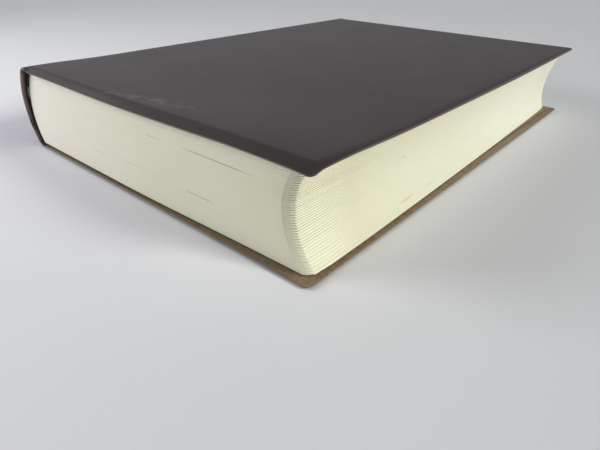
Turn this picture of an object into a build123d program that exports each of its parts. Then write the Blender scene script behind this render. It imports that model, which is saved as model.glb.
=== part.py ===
from build123d import *
import os

# A round-backed dictionary in a limp case of vinyl over thin card, lying on its back cover.
# X runs from the spine to the fore edge, Y from the tail to the head, and Z up through the leaves.
# The origin is the middle of the footprint, on the table. Lengths are in millimetres.

# Leaves and endpapers
page_height = 182.0
page_width = 128.0
page_corner_radius = 5.0
block_thickness = 26.0
back_rounding = 5.0
endpaper_thickness = 0.15

# Covers
cover_square = 2.5
vinyl_thickness = 0.3
board_thickness = 0.6
board_setback = 0.5
board_corner_radius = 2.5
cover_corner_radius = 4.0
soft_margin = 3.5
soft_drop = 0.6
edge_radius = 0.2
rim_share = 0.45
turn_in = 12.0
joint_inset = 2.0
joint_crease = 0.1

# Spine
glue_line = 0.05
mull_thickness = 0.25
lining_thickness = 0.2
lining_end_gap = 0.5
hollow_gap = 0.3
inlay_thickness = 0.5
inlay_margin = 1.0
spine_turn_in = 10.0
shoulder_radius = 3.0

# Headbands
band_tape_thickness = 0.4
band_tape_height = 12.0
band_bead_radius = 0.4
band_margin = 1.0

# Every cut runs past the face that it opens
overrun = 1.0

# Levels up through the closed book
cover_thickness = 2 * vinyl_thickness + board_thickness
flyleaf_level = cover_thickness + endpaper_thickness
block_level = flyleaf_level + endpaper_thickness
block_top = block_level + block_thickness
total_thickness = block_top + block_level
middle = total_thickness / 2
board_face = vinyl_thickness + board_thickness

# Layers behind the rounded back, measured out from the leaves
mull_outer = glue_line + mull_thickness
lining_inner = mull_outer + glue_line
lining_outer = lining_inner + lining_thickness
tape_outer = glue_line + band_tape_thickness
fold_inner = max(lining_outer, tape_outer) + hollow_gap
fold_outer = fold_inner + vinyl_thickness
inlay_inner = fold_outer + glue_line
inlay_outer = inlay_inner + inlay_thickness
spine_inner = inlay_outer + glue_line
spine_outer = spine_inner + vinyl_thickness

# Places along the book, with the footprint centred
cover_height = page_height + 2 * cover_square
spine_x = (back_rounding + spine_outer - page_width - cover_square) / 2
fore_x = spine_x + page_width + cover_square
hinge_x = spine_x + joint_inset
board_x = hinge_x + board_setback

# The arc that the leaves' backs follow, from one face of the block to the other
back_radius = block_thickness**2 / (8 * back_rounding) + back_rounding / 2
arc_x = spine_x - back_rounding + back_radius
back_plane = Plane((arc_x, 0, middle), x_dir=(1, 0, 0), z_dir=(0, -1, 0))
inlay_half = block_thickness / 2 - inlay_margin
band_half = block_thickness / 2 - band_margin


def rounded_sheet(start_x, end_x, width, corner_radius, level):
    """A flat outline that is square towards the spine and rounded at the fore edge."""
    sheet = Pos((start_x + end_x) / 2, 0, level) * Rectangle(end_x - start_x, width)
    return fillet(sheet.vertices().group_by(Axis.X)[-1], corner_radius)


def leaf_outline(level):
    """One leaf, seen from above."""
    return rounded_sheet(spine_x, spine_x + page_width, page_height, page_corner_radius, level)


def cover_outline(level):
    """The whole cover, out to its soft edge."""
    return rounded_sheet(hinge_x, fore_x, cover_height, cover_corner_radius, level)


def board_outline(start_x, level):
    """The card inside the cover, which stops short of the soft edge."""
    width = cover_height - 2 * soft_margin
    return rounded_sheet(start_x, fore_x - soft_margin, width, board_corner_radius, level)


def window_outline(start_x, inset, level):
    """The area inside the cover that the turned-in vinyl leaves bare."""
    end_x = fore_x - turn_in - inset
    width = cover_height - 2 * (turn_in + inset)
    return Pos((start_x + end_x) / 2, 0, level) * Rectangle(end_x - start_x, width)


def layer_behind(inner, outer, half_height, length):
    """A layer that follows the rounded back, between two distances out from the leaves."""
    ring = Circle(back_radius + outer) - Circle(back_radius + inner)
    reach = back_radius + outer + overrun
    keep = Pos(-reach / 2, 0) * Rectangle(reach, 2 * half_height)
    return extrude(back_plane * (ring & keep), length / 2, both=True)


def area_behind(outer, half_height, corner_radius, end_x):
    """The area inside an arc behind the back, closed above and below, with round shoulders."""
    left = back_radius + outer + overrun
    right = end_x - arc_x
    band = Pos((right - left) / 2, 0) * Rectangle(left + right, 2 * half_height)
    area = Circle(back_radius + outer) & band
    return back_plane * fillet(area.vertices().group_by(Axis.X)[0], corner_radius)


def make_text_block():
    """All the leaves as one solid: rounding the back slides each leaf along the arc."""
    back_arc = ThreePointArc(
        (spine_x, 0, block_level),
        (spine_x - back_rounding, 0, middle),
        (spine_x, 0, block_top),
    )
    return sweep(leaf_outline(block_level), back_arc, normal=(0, 0, 1))


def make_cover_skin():
    """The back cover's vinyl: its outer face, its soft edges and the part turned in round the board."""
    flat_face = board_outline(hinge_x, 0)
    skin = loft([flat_face, cover_outline(soft_drop), cover_outline(cover_thickness)], ruled=True)
    levels = skin.edges().filter_by(Plane.XY).group_by(Axis.Z)
    rims = levels[-1].sort_by(Axis.X)[1:] + levels[-2].sort_by(Axis.X)[1:]
    skin = fillet(rims, min(edge_radius, rim_share * (cover_thickness - soft_drop)))
    pocket = extrude(board_outline(hinge_x - overrun, vinyl_thickness), board_thickness)
    window = extrude(window_outline(hinge_x - overrun, 0, board_face), vinyl_thickness + overrun)
    return skin - pocket - window


def make_board():
    """The back cover's card, which fills the pocket in the vinyl."""
    return extrude(board_outline(board_x, vinyl_thickness), board_thickness)


def make_pastedown():
    """The endpaper glued inside the back cover, sunk between the turned-in edges."""
    end_x = spine_x + page_width
    sheet = rounded_sheet(board_x, end_x, page_height, page_corner_radius, cover_thickness)
    panel = extrude(window_outline(board_x, 0, board_face), vinyl_thickness)
    sunk_level = board_face + endpaper_thickness
    sunk = window_outline(board_x - overrun, endpaper_thickness, sunk_level)
    return extrude(sheet, endpaper_thickness) + panel - extrude(sunk, vinyl_thickness + overrun)


def make_spine_cover():
    """The vinyl round the spine, folded over the ends of its card inlay."""
    half_height = middle - joint_crease
    outer = area_behind(spine_outer, half_height, shoulder_radius, hinge_x)
    inner = area_behind(
        spine_inner,
        half_height - vinyl_thickness,
        shoulder_radius - vinyl_thickness,
        hinge_x + overrun,
    )
    skin = extrude(outer - inner, cover_height / 2, both=True)
    fold = layer_behind(fold_inner, fold_outer, inlay_half, spine_turn_in)
    end = layer_behind(fold_inner, spine_outer - vinyl_thickness / 2, inlay_half, vinyl_thickness)
    for side in (-1, 1):
        skin += Pos(0, side * (cover_height - spine_turn_in) / 2, 0) * fold
        skin += Pos(0, side * (cover_height - vinyl_thickness) / 2, 0) * end
    return skin


def make_headband():
    """The band at the head: a cloth tape glued to the back, with a bead along its end."""
    bead_y = page_height / 2 + glue_line + band_bead_radius
    tape_length = bead_y - page_height / 2 + band_tape_height
    tape = layer_behind(glue_line, tape_outer, band_half, tape_length)
    bead_path_radius = back_radius + (glue_line + tape_outer) / 2
    reach = (bead_path_radius**2 - band_half**2) ** 0.5
    bead_path = ThreePointArc(
        (arc_x - reach, bead_y, middle - band_half),
        (arc_x - bead_path_radius, bead_y, middle),
        (arc_x - reach, bead_y, middle + band_half),
    )
    section = Plane(bead_path @ 0, z_dir=bead_path % 0) * Circle(band_bead_radius)
    return Pos(0, bead_y - tape_length / 2, 0) * tape + sweep(section, bead_path)


def as_front(shape):
    """The same piece for the front cover, turned over about the middle of the book."""
    return Pos(0, 0, total_thickness) * Rot(180, 0, 0) * shape


def as_tail(shape):
    """The same piece at the other end of the spine."""
    return mirror(shape, Plane.XZ)


cover_skin = make_cover_skin()
board = make_board()
pastedown = make_pastedown()
headband = make_headband()
lining_length = page_height - 2 * (band_tape_height + lining_end_gap)
inlay_length = cover_height - 2 * (vinyl_thickness + glue_line)

nodes = {
    "text_block": make_text_block(),
    "front_flyleaf": extrude(leaf_outline(block_top), endpaper_thickness),
    "back_flyleaf": extrude(leaf_outline(flyleaf_level), endpaper_thickness),
    "spine_mull": layer_behind(glue_line, mull_outer, block_thickness / 2, lining_length),
    "spine_lining": layer_behind(lining_inner, lining_outer, block_thickness / 2, lining_length),
    "head_band": headband,
    "tail_band": as_tail(headband),
    "spine_inlay": layer_behind(inlay_inner, inlay_outer, inlay_half, inlay_length),
    "spine_cover": make_spine_cover(),
    "front_cover": as_front(cover_skin),
    "front_board": as_front(board),
    "front_pastedown": as_front(pastedown),
    "back_cover": cover_skin,
    "back_board": board,
    "back_pastedown": pastedown,
}

os.makedirs("parts", exist_ok=True)
for node, shape in nodes.items():
    export_step(shape, f"parts/{node}.step")
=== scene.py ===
# %% [markdown]
# # A dictionary in a limp vinyl case
# A thick dictionary lies on its back cover. About 1,200 thin leaves are glued up with a rounded
# back, and a limp case of dark-brown vinyl over thin card is wrapped round them. The CAD frame
# gives every size and place, so this script reads its sizes from the frame and only makes what
# the eye sees: the combed leaf edges, the soft skin of the case, the threads of the head bands
# and the finish of each material.

# %% The frame
import math
import bmesh
import bpy
import numpy as np
from mathutils import Matrix, Vector


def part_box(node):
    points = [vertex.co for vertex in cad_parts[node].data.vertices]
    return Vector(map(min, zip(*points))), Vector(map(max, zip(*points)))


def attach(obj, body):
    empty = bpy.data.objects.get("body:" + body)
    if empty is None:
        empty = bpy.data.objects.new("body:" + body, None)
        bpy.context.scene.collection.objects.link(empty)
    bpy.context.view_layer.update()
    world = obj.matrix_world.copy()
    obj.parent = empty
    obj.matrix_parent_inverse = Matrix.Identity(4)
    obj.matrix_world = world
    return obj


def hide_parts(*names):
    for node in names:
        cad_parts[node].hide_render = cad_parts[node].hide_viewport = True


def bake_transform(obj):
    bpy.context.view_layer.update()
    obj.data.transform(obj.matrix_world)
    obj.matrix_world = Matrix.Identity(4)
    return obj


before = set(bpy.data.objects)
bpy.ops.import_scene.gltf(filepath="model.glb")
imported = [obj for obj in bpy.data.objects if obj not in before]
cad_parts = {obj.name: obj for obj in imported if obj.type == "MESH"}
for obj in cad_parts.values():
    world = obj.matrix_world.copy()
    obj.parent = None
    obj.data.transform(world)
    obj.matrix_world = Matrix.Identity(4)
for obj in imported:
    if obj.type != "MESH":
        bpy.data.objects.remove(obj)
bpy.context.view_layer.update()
MM = 0.001

# %% [markdown]
# ## Sizes that the frame gives
# Blender works in metres, and each CAD node has its place in its mesh. The boxes of a few nodes
# give the levels of the closed book, the hinge line and the rounding of the back, so nothing has
# to be fitted by eye.

# %% Sizes from the frame
block_low, block_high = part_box("text_block")
leaf_low, leaf_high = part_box("front_flyleaf")
cover_low, cover_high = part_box("front_cover")
spine_low, spine_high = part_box("spine_cover")
total_thickness = cover_high.z
middle = total_thickness / 2
block_thickness = block_high.z - block_low.z
back_rounding = leaf_low.x - block_low.x
back_radius = block_thickness**2 / (8 * back_rounding) + back_rounding / 2
arc_x = block_low.x + back_radius
hinge_x = cover_low.x
cover_thickness = cover_high.z - cover_low.z
print(f"leaves {block_thickness / MM:.1f} mm thick, back radius {back_radius / MM:.1f} mm")

# %% [markdown]
# ## Helpers
# Shader trees and geometry trees are built the same way: a node is added, its options are set,
# and each input takes a value or a link. One small function does that for every kind of node, and
# the four kinds that come up most have a shorter one of their own.
# Colours are written as sRGB hex values, as a paint chart gives them, and turned to the linear
# values that a shader works with.

# %% Node helpers
def hex_colour(code):
    """The linear colour of an sRGB hex value such as "8A6F52"."""
    channels = [int(code[i:i + 2], 16) / 255 for i in (0, 2, 4)]
    linear = [c / 12.92 if c <= 0.04045 else ((c + 0.055) / 1.055) ** 2.4 for c in channels]
    return (*linear, 1.0)


def pick(sockets, key):
    """A socket by its number, where several share a name, or by its name among those in use."""
    if isinstance(key, int):
        return sockets[key]
    return next(s for s in sockets if s.enabled and s.name == key)


def add(tree, kind, inputs=None, **options):
    """Add a node, set its options, and give its inputs values or links.

    A node that is given as an input stands for its first output in use.
    """
    node = tree.nodes.new(kind)
    for name, value in options.items():
        setattr(node, name, value)
    for key, source in (inputs or {}).items():
        if isinstance(source, bpy.types.Node):
            source = next(s for s in source.outputs if s.enabled)
        if isinstance(source, bpy.types.NodeSocket):
            tree.links.new(source, pick(node.inputs, key))
        else:
            pick(node.inputs, key).default_value = source
    return node


def maths(tree, operation, *values):
    """Add a Math node, its values or links given in order."""
    return add(tree, "ShaderNodeMath", dict(enumerate(values)), operation=operation)


def mix(tree, factor, first, second):
    """Add a Mix node that goes from the first colour to the second as its factor goes to 1."""
    inputs = {"Factor": factor, "A": first, "B": second}
    return add(tree, "ShaderNodeMix", inputs, data_type="RGBA")


def remap(tree, value, low, high, to_low=0.0, to_high=1.0):
    """Add a Map Range node, which turns low into to_low and high into to_high."""
    return add(tree, "ShaderNodeMapRange", {
        "Value": value, "From Min": low, "From Max": high, "To Min": to_low, "To Max": to_high,
    })


def noise(tree, vector, scale, detail, roughness=0.5, distortion=0.0):
    """Add a Noise texture. One over its scale is the size of its patches, in the vector's unit."""
    return add(tree, "ShaderNodeTexNoise", {
        "Vector": vector, "Scale": scale, "Detail": detail,
        "Roughness": roughness, "Distortion": distortion,
    })


def new_material(name, roughness, ior=1.5):
    """A material with a Principled shader, returned with its tree."""
    material = bpy.data.materials.new(name)
    material.use_nodes = True
    shader = material.node_tree.nodes["Principled BSDF"]
    shader.inputs["Roughness"].default_value = roughness
    shader.inputs["IOR"].default_value = ior
    return material, material.node_tree, shader


def wire(tree, shader, colour, bump=None):
    """Link a mixed colour to a shader, and a bump where there is one."""
    tree.links.new(pick(colour.outputs, "Result"), shader.inputs["Base Color"])
    if bump is not None:
        tree.links.new(bump.outputs["Normal"], shader.inputs["Normal"])


print("helpers ready; mid grey 808080 is", round(hex_colour("808080")[0], 3), "in linear light")

# %% [markdown]
# ## Finish of the case: vinyl leathercloth
# The case is a soft PVC film on a thin backing, embossed with a fine leather grain. It is dark
# brown and a little uneven, satin rather than glossy, and handling has left a pale smear near the
# tail edge. Its turned-in side is a lighter olive brown with a fine drawn grain, and the ends of
# the spine are rubbed to a mauve brown. It bends at the hinge, so the pattern follows the
# attribute "flat", the place on the skin as if it were laid out flat.

# %% Vinyl: colour
vinyl, tree, shader = new_material("embossed_vinyl_leathercloth", roughness=0.42)
flat = add(tree, "ShaderNodeAttribute", attribute_name="flat").outputs["Vector"]
inner_side = add(tree, "ShaderNodeAttribute", attribute_name="inner").outputs["Fac"]
rim = add(tree, "ShaderNodeAttribute", attribute_name="rim").outputs["Fac"]

# Cloudy patches about 35 mm across, where the film took its dye unevenly
cloud = noise(tree, flat, 1 / 0.035, 4.0, roughness=0.6)
outer_colour = mix(tree, cloud, hex_colour("362F2E"), hex_colour("3B3433"))

# The turned-in side: streaks 0.4 mm wide and about 6 mm long
drawn = add(tree, "ShaderNodeMapping", {"Vector": flat, "Scale": (1 / 0.006, 1 / 0.0004, 1.0)})
streak = noise(tree, drawn, 1.0, 3.0)
fleck = noise(tree, flat, 1 / 0.0007, 2.0)
weave = maths(tree, "ADD", streak, fleck)
weave_range = remap(tree, weave, 0.75, 1.25)
olive, lit_olive = [
    mix(tree, weave_range, hex_colour(dark), hex_colour(light))
    for dark, light in [("5A4A38", "7C6A50"), ("6A5843", "927D60")]
]

# Painted light: the back cover's turned-in side is painted paler along its fore edge, where the
# lamp from the right falls on it. On that cover, "flat" is 1 in Z
lit_start = 62 * MM
lit_full = 65 * MM
flat_split = add(tree, "ShaderNodeSeparateXYZ", {0: flat})
fore_share = remap(tree, flat_split.outputs["X"], lit_start, lit_full)
painted_fore_light = maths(tree, "MULTIPLY", fore_share, flat_split.outputs["Z"])
inner_colour = mix(tree, painted_fore_light, olive, lit_olive)
skin_colour = mix(tree, inner_side, outer_colour, inner_colour)
print("vinyl colours mixed")

# %% Vinyl: rubbed spine ends and the pale smear
# The ends of the spine wear in patches about 5 mm long
rub_noise = noise(tree, flat, 1 / 0.005, 3.0)
rub_patch = remap(tree, rub_noise, 0.25, 0.5)
rub = maths(tree, "MULTIPLY", rim, rub_patch)
rim_colour = mix(tree, rub, skin_colour, hex_colour("86706C"))

# A whitish smear about 50 mm long and 7 mm wide, slanting along the tail edge of the front cover
smear_place = add(tree, "ShaderNodeMapping", {
    "Vector": flat,
    "Location": (4.5 * MM, -86.4 * MM, 0.0),
    "Rotation": (0.0, 0.0, math.radians(10.5)),
    "Scale": (26 * MM, 3.6 * MM, 1.0),
}, vector_type="TEXTURE")
smear_distance = add(tree, "ShaderNodeVectorMath", {0: smear_place}, operation="LENGTH")
smear_fade = remap(tree, smear_distance.outputs["Value"], 1.0, 0.3)
smear_grain = add(tree, "ShaderNodeMapping", {
    "Vector": flat, "Scale": (1 / 0.0042, 1 / 0.0017, 1.0),
})
smear_noise = noise(tree, smear_grain, 1.0, 4.0)
smear_patch = remap(tree, smear_noise, 0.46, 0.7, to_high=0.42)
smear_front = add(tree, "ShaderNodeAttribute", attribute_name="front").outputs["Fac"]
smear_area = maths(tree, "MULTIPLY", smear_fade, smear_patch)
smear = maths(tree, "MULTIPLY", smear_area, smear_front)
smeared_colour = mix(tree, smear, rim_colour, hex_colour("8F8B8E"))
print("vinyl worn at the ends of the spine, with one smear")

# %% Vinyl: gloss and grain
# Grain cells of 0.8 mm, as on a pressed book cloth, and slow waves from the card under the film
sheen_noise = noise(tree, flat, 1 / 0.018, 5.0, roughness=0.65)
gloss = remap(tree, sheen_noise, 0.3, 0.7, to_low=0.42, to_high=0.46)
tree.links.new(pick(gloss.outputs, "Result"), shader.inputs["Roughness"])
cells = add(tree, "ShaderNodeTexVoronoi", {
    "Vector": flat, "Scale": 1 / 0.0008,
}, feature="SMOOTH_F1")
grain = add(tree, "ShaderNodeBump", {
    "Strength": 0.25, "Distance": 0.05 * MM, "Height": cells.outputs["Distance"],
})
swell = noise(tree, flat, 1 / 0.03, 2.0)
waves = add(tree, "ShaderNodeBump", {
    "Strength": 0.15, "Distance": 0.6 * MM, "Height": swell, "Normal": grain,
})
wire(tree, shader, smeared_colour, waves)
print("vinyl has", len(tree.nodes), "nodes")

# %% [markdown]
# ## Finish of the leaves: cut edges of thin paper
# The edges are a stack of thin cream sheets cut by a guillotine. What shows is the colour of the
# paper, drawn out in streaks along the leaves, painted shadow lines where the stack gapes and in the
# grooves of the combed corners, some specks of dirt, and two yellow stains low on the fore edge.
# "level" is the height of a leaf in the stack, stored when the stack is made.

# %% Leaf edges: streaks
leaf_paper, tree, shader = new_material("thin_dictionary_paper_cut_edge", roughness=0.85, ior=1.45)
place = add(tree, "ShaderNodeTexCoord").outputs["Object"]
level = add(tree, "ShaderNodeAttribute", attribute_name="level").outputs["Fac"]
place_split = add(tree, "ShaderNodeSeparateXYZ", {0: place})

# Streaks about 50 mm long and 0.4 mm high, some leaves greyer and some more yellow
streak_place = add(tree, "ShaderNodeCombineXYZ", {
    "X": place_split.outputs["X"], "Y": place_split.outputs["Y"],
    "Z": maths(tree, "MULTIPLY", level, 0.05 / 0.0004),
})
leaf_streak = noise(tree, streak_place, 1 / 0.05, 4.0, roughness=0.7)
streak_range = remap(tree, leaf_streak, 0.3, 0.7)
paper_colour = mix(tree, streak_range, hex_colour("E8E6D7"), hex_colour("F1F0E3"))
print("leaf streaks drawn")

# %% Leaf edges: age, soil and grooves
# Handling has yellowed the edges round the tail's fore corner
from_corner = add(tree, "ShaderNodeVectorMath", {
    0: place, 1: (leaf_high.x, leaf_low.y, middle),
}, operation="DISTANCE").outputs["Value"]
aged = remap(tree, from_corner, 150 * MM, 0.0, to_high=0.9)
aged_colour = mix(tree, aged, paper_colour, hex_colour("E1E0C4"))

# Patches about 40 mm across, a little darker from handling
soil = noise(tree, place, 1 / 0.043, 3.0)
soil_range = remap(tree, soil, 0.45, 0.8, to_high=0.22)
soiled = mix(tree, soil_range, aged_colour, hex_colour("DCDAC8"))

# Combed ridges next to the corner show cleaner paper, and their grooves get painted shade
combed_mark = add(tree, "ShaderNodeAttribute", attribute_name="combed").outputs["Fac"]
clean = remap(tree, combed_mark, 0.5, 1.0)
cleaned = mix(tree, clean, soiled, hex_colour("F6F5DC"))
groove_shade_mark = add(tree, "ShaderNodeAttribute", attribute_name="groove").outputs["Fac"]
groove_shade_share = maths(tree, "MULTIPLY", groove_shade_mark, 1.7)
grooved = mix(tree, groove_shade_share, cleaned, hex_colour("9C997D"))
print("leaf edges aged, soiled and grooved")

# %% Leaf edges: painted shadow lines in gaps
# Painted shadow lines where the stack gapes on the tail face: level, start and end along the leaf in
# mm, and darkness
gap_shadows = [
    (20.4, 22.0, 51.0, 0.6),
    (20.0, 6.0, 15.0, 0.3),
    (8.2, 22.0, 36.0, 0.4),
    (8.7, -11.0, 17.0, 0.18),
    (7.5, -25.0, -16.0, 0.2),
]
gap_half_height = 0.16 * MM
tail_face = -88 * MM
on_tail = maths(tree, "LESS_THAN", place_split.outputs["Y"], tail_face)
edge_colour = grooved
for gap_level, start, end, darkness in gap_shadows:
    gap_centre = (start + end) / 2 * MM
    gap_reach = (end - start) / 2 * MM
    at_level = maths(tree, "COMPARE", level, gap_level * MM, gap_half_height)
    from_centre = maths(tree, "SUBTRACT", place_split.outputs["X"], gap_centre)
    off_centre = maths(tree, "ABSOLUTE", from_centre)
    taper = remap(tree, off_centre, gap_reach, gap_reach / 2, to_high=darkness)
    gap_line = maths(tree, "MULTIPLY", at_level, taper)
    gap_shadow = maths(tree, "MULTIPLY", gap_line, on_tail)
    edge_colour = mix(tree, gap_shadow, edge_colour, hex_colour("8B8267"))

print("leaf edges have", len(gap_shadows), "gap_shadows")

# %% Leaf edges: specks and stains
# Round specks of dirt, 0.8 mm across, one to each 14 mm or so
speck_cells = add(tree, "ShaderNodeTexVoronoi", {"Vector": place, "Scale": 1 / 0.014})
speck = remap(tree, speck_cells.outputs["Distance"], 0.04, 0.02, to_high=0.35)
specked = mix(tree, speck, edge_colour, hex_colour("A89F84"))

# Yellow streaks low on the fore edge: place along it, level and half length in mm, and strength
stains = [(-44.0, 2.1, 5.0, 0.35), (-30.0, 2.0, 4.0, 0.16)]
stain_edge = noise(tree, streak_place, 1 / 0.012, 2.0)
stained = specked
for along_y, stain_level, half_length, strength in stains:
    stain_place = add(tree, "ShaderNodeMapping", {
        "Vector": place,
        "Location": (block_high.x, along_y * MM, block_low.z + stain_level * MM),
        "Scale": (9 * MM, half_length * MM, 0.45 * MM),
    }, vector_type="TEXTURE")
    stain_distance = add(tree, "ShaderNodeVectorMath", {
        0: stain_place,
    }, operation="LENGTH").outputs["Value"]
    stain_ragged = maths(tree, "MULTIPLY_ADD", stain_edge, 0.9, stain_distance)
    stain = remap(tree, stain_ragged, 1.5, 0.8, to_high=strength)
    stained = mix(tree, stain, stained, hex_colour("C8A860"))
print("leaf edges have specks and", len(stains), "stains")

# %% Leaf edges: bump
# Single leaves are 0.02 mm thick, too fine to show, so the lines are drawn 0.12 mm apart
sheet_place = add(tree, "ShaderNodeCombineXYZ", {
    "X": place_split.outputs["X"], "Y": place_split.outputs["Y"],
    "Z": maths(tree, "MULTIPLY", level, 0.02 / 0.00012),
})
sheets = noise(tree, sheet_place, 1 / 0.02, 3.0, roughness=0.7)
sheet_bump = add(tree, "ShaderNodeBump", {
    "Strength": 0.35, "Distance": 0.08 * MM, "Height": sheets,
})
wire(tree, shader, stained, sheet_bump)
print("leaf paper has", len(tree.nodes), "nodes")

# %% [markdown]
# ## Finish of the endpapers
# The endpapers are one sheet of stouter, uncoated paper in an olive brown, folded round the
# joint. Up close such a sheet shows short fibres in two tones and a soft tooth, and nothing
# shines.

# %% Endpaper
def make_endpaper(name, bends):
    """Brown endpaper. Its pattern lies on its own place, or on the attribute "flat" where it bends."""
    material, tree, shader = new_material(name, roughness=0.9, ior=1.45)
    own_place = add(tree, "ShaderNodeTexCoord")
    place = own_place.outputs["Object"]
    if bends:
        place = add(tree, "ShaderNodeAttribute", attribute_name="flat").outputs["Vector"]
    # Fibres about 3 mm long and 0.25 mm wide, and cloudy formation 12 mm across
    fibre_place = add(tree, "ShaderNodeMapping", {
        "Vector": place, "Scale": (1 / 0.003, 1 / 0.00025, 1 / 0.00025),
    })
    fibres = noise(tree, fibre_place, 1.0, 3.0, distortion=1.5)
    formation = noise(tree, place, 1 / 0.012, 4.0)
    fibre_mix = maths(tree, "MULTIPLY_ADD", fibres, 0.5, formation)
    fibre_range = remap(tree, fibre_mix, 0.55, 0.95)
    colour = mix(tree, fibre_range, hex_colour("7E6D55"), hex_colour("917F66"))
    if not bends:
        # Painted shade: the cut edges are painted dark, so they read as a thin shadow line under the
        # leaves
        facing = add(tree, "ShaderNodeSeparateXYZ", {0: own_place.outputs["Normal"]}).outputs["Z"]
        flatness = maths(tree, "ABSOLUTE", facing)
        edge_shade = remap(tree, flatness, 0.7, 0.3)
        colour = mix(tree, edge_shade, colour, hex_colour("4E4034"))
    tooth = add(tree, "ShaderNodeBump", {"Strength": 0.2, "Distance": 0.05 * MM, "Height": fibres})
    wire(tree, shader, colour, tooth)
    return material


endpaper = make_endpaper("uncoated_brown_endpaper", bends=False)
folded_endpaper = make_endpaper("uncoated_brown_endpaper_fold", bends=True)
print("endpapers:", endpaper.name, folded_endpaper.name)

# %% [markdown]
# ## Finishes inside the case
# The card, the mull and the lining hardly show: a little at the ends of the spine, and more when
# the covers open. Each still gets what it is. Card is pressed grey-brown pulp with darker flecks,
# mull is an open cotton weave stiff with glue, and the lining is brown kraft paper with long
# fibres.

# %% Binding card
case_card, tree, shader = new_material("grey_brown_binding_card", roughness=0.92, ior=1.45)
place = add(tree, "ShaderNodeTexCoord").outputs["Object"]
# Flecks of pulp about 1.5 mm across
pulp = noise(tree, place, 1 / 0.0015, 6.0, roughness=0.7)
pulp_range = remap(tree, pulp, 0.3, 0.7)
pulp_colour = mix(tree, pulp_range, hex_colour("7A6B57"), hex_colour("9A8B74"))
pulp_bump = add(tree, "ShaderNodeBump", {"Strength": 0.3, "Distance": 0.06 * MM, "Height": pulp})
wire(tree, shader, pulp_colour, pulp_bump)
print("card:", case_card.name)

# %% Mull
mull_cloth, tree, shader = new_material("open_weave_mull", roughness=0.95, ior=1.45)
place = add(tree, "ShaderNodeTexCoord").outputs["Object"]
# Threads 0.9 mm apart both ways; at a scale of 1, a wave texture turns by 20 radians in a metre
thread_scale = 2 * math.pi / 20 / 0.0009
warp, weft = [
    add(tree, "ShaderNodeTexWave", {
        "Vector": place, "Scale": thread_scale, "Distortion": 1.0,
    }, bands_direction=direction)
    for direction in ("Y", "Z")
]
threads = maths(tree, "MAXIMUM", warp, weft)
mull_colour = mix(tree, threads, hex_colour("A89472"), hex_colour("DED5BE"))
mull_bump = add(tree, "ShaderNodeBump", {"Strength": 0.6, "Distance": 0.15 * MM, "Height": threads})
wire(tree, shader, mull_colour, mull_bump)
print("mull:", mull_cloth.name)

# %% Kraft lining
lining_paper, tree, shader = new_material("brown_kraft_lining", roughness=0.85, ior=1.45)
place = add(tree, "ShaderNodeTexCoord").outputs["Object"]
# Fibres 6 mm long and 0.4 mm wide, along the spine
long_fibres = add(tree, "ShaderNodeMapping", {
    "Vector": place, "Scale": (1 / 0.0004, 1 / 0.006, 1 / 0.0004),
})
kraft = noise(tree, long_fibres, 1.0, 4.0, distortion=1.0)
kraft_colour = mix(tree, kraft, hex_colour("8E6F49"), hex_colour("B99A6E"))
kraft_bump = add(tree, "ShaderNodeBump", {"Strength": 0.25, "Distance": 0.05 * MM, "Height": kraft})
wire(tree, shader, kraft_colour, kraft_bump)
print("lining:", lining_paper.name)

# %% [markdown]
# ## Finish of the head bands
# A head band is a cloth tape with a bead wrapped in thread. The thread is dark brown here, and at
# the tail it has frayed near the front cover, so the pale core shows. The frayed stretch is about
# 4 mm long.

# %% Band thread
band_cloth, tree, shader = new_material("dark_band_thread", roughness=0.8, ior=1.5)
place = add(tree, "ShaderNodeTexCoord").outputs["Object"]
# Strands 0.15 mm thick
strand_place = add(tree, "ShaderNodeMapping", {
    "Vector": place, "Scale": (1 / 0.0006, 1 / 0.0006, 1 / 0.00015),
})
strands = noise(tree, strand_place, 1.0, 2.0)
thread_colour = mix(tree, strands, hex_colour("241B17"), hex_colour("43342D"))
frayed_level = 19.5 * MM
frayed_place = add(tree, "ShaderNodeMapping", {
    "Vector": place,
    "Location": (block_low.x, block_low.y, frayed_level),
    "Scale": (8 * MM, 4 * MM, 2.1 * MM),
}, vector_type="TEXTURE")
frayed_distance = add(tree, "ShaderNodeVectorMath", {
    0: frayed_place,
}, operation="LENGTH").outputs["Value"]
frayed_edge = maths(tree, "MULTIPLY_ADD", strands, 0.5, frayed_distance)
frayed = remap(tree, frayed_edge, 1.3, 1.1)
band_colour = mix(tree, frayed, thread_colour, hex_colour("918E7C"))
strand_bump = add(tree, "ShaderNodeBump", {
    "Strength": 0.4, "Distance": 0.05 * MM, "Height": strands,
})
wire(tree, shader, band_colour, strand_bump)
print("band thread has", len(tree.nodes), "nodes")

# %% [markdown]
# ## Solids that stay as the CAD made them
# Endpapers, boards, mull, lining and the tapes of the head bands have the right shape already.
# They keep their mesh and only change material.

# %% CAD nodes get their finish
finish_of = {
    "front_flyleaf": endpaper,
    "back_flyleaf": endpaper,
    "front_pastedown": endpaper,
    "back_pastedown": endpaper,
    "front_board": case_card,
    "back_board": case_card,
    "spine_inlay": case_card,
    "spine_mull": mull_cloth,
    "spine_lining": lining_paper,
    "head_band": band_cloth,
    "tail_band": band_cloth,
}
for node_name, finish in finish_of.items():
    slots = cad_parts[node_name].data.materials
    slots.clear()
    slots.append(finish)
print(len(finish_of), "CAD nodes refinished")

# %% [markdown]
# ## The text block
# The leaves are folded in signatures, sewn or glued, rounded at the back and cut. They could be
# modelled as one smooth solid, but on the real block each signature ends a hair in front of or
# behind the next, and the cut corners comb into fine ridges. That is a rule repeated up the
# stack, so Geometry Nodes build it: a grid is wound round the outline of a leaf, one row for each
# step up the stack, and every row slides along the arc of the back. First comes the outline. The
# corner cutter leaves a shallow cut that starts at a sharp crease on the tail or head edge and
# turns tightly into the fore edge.

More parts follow.
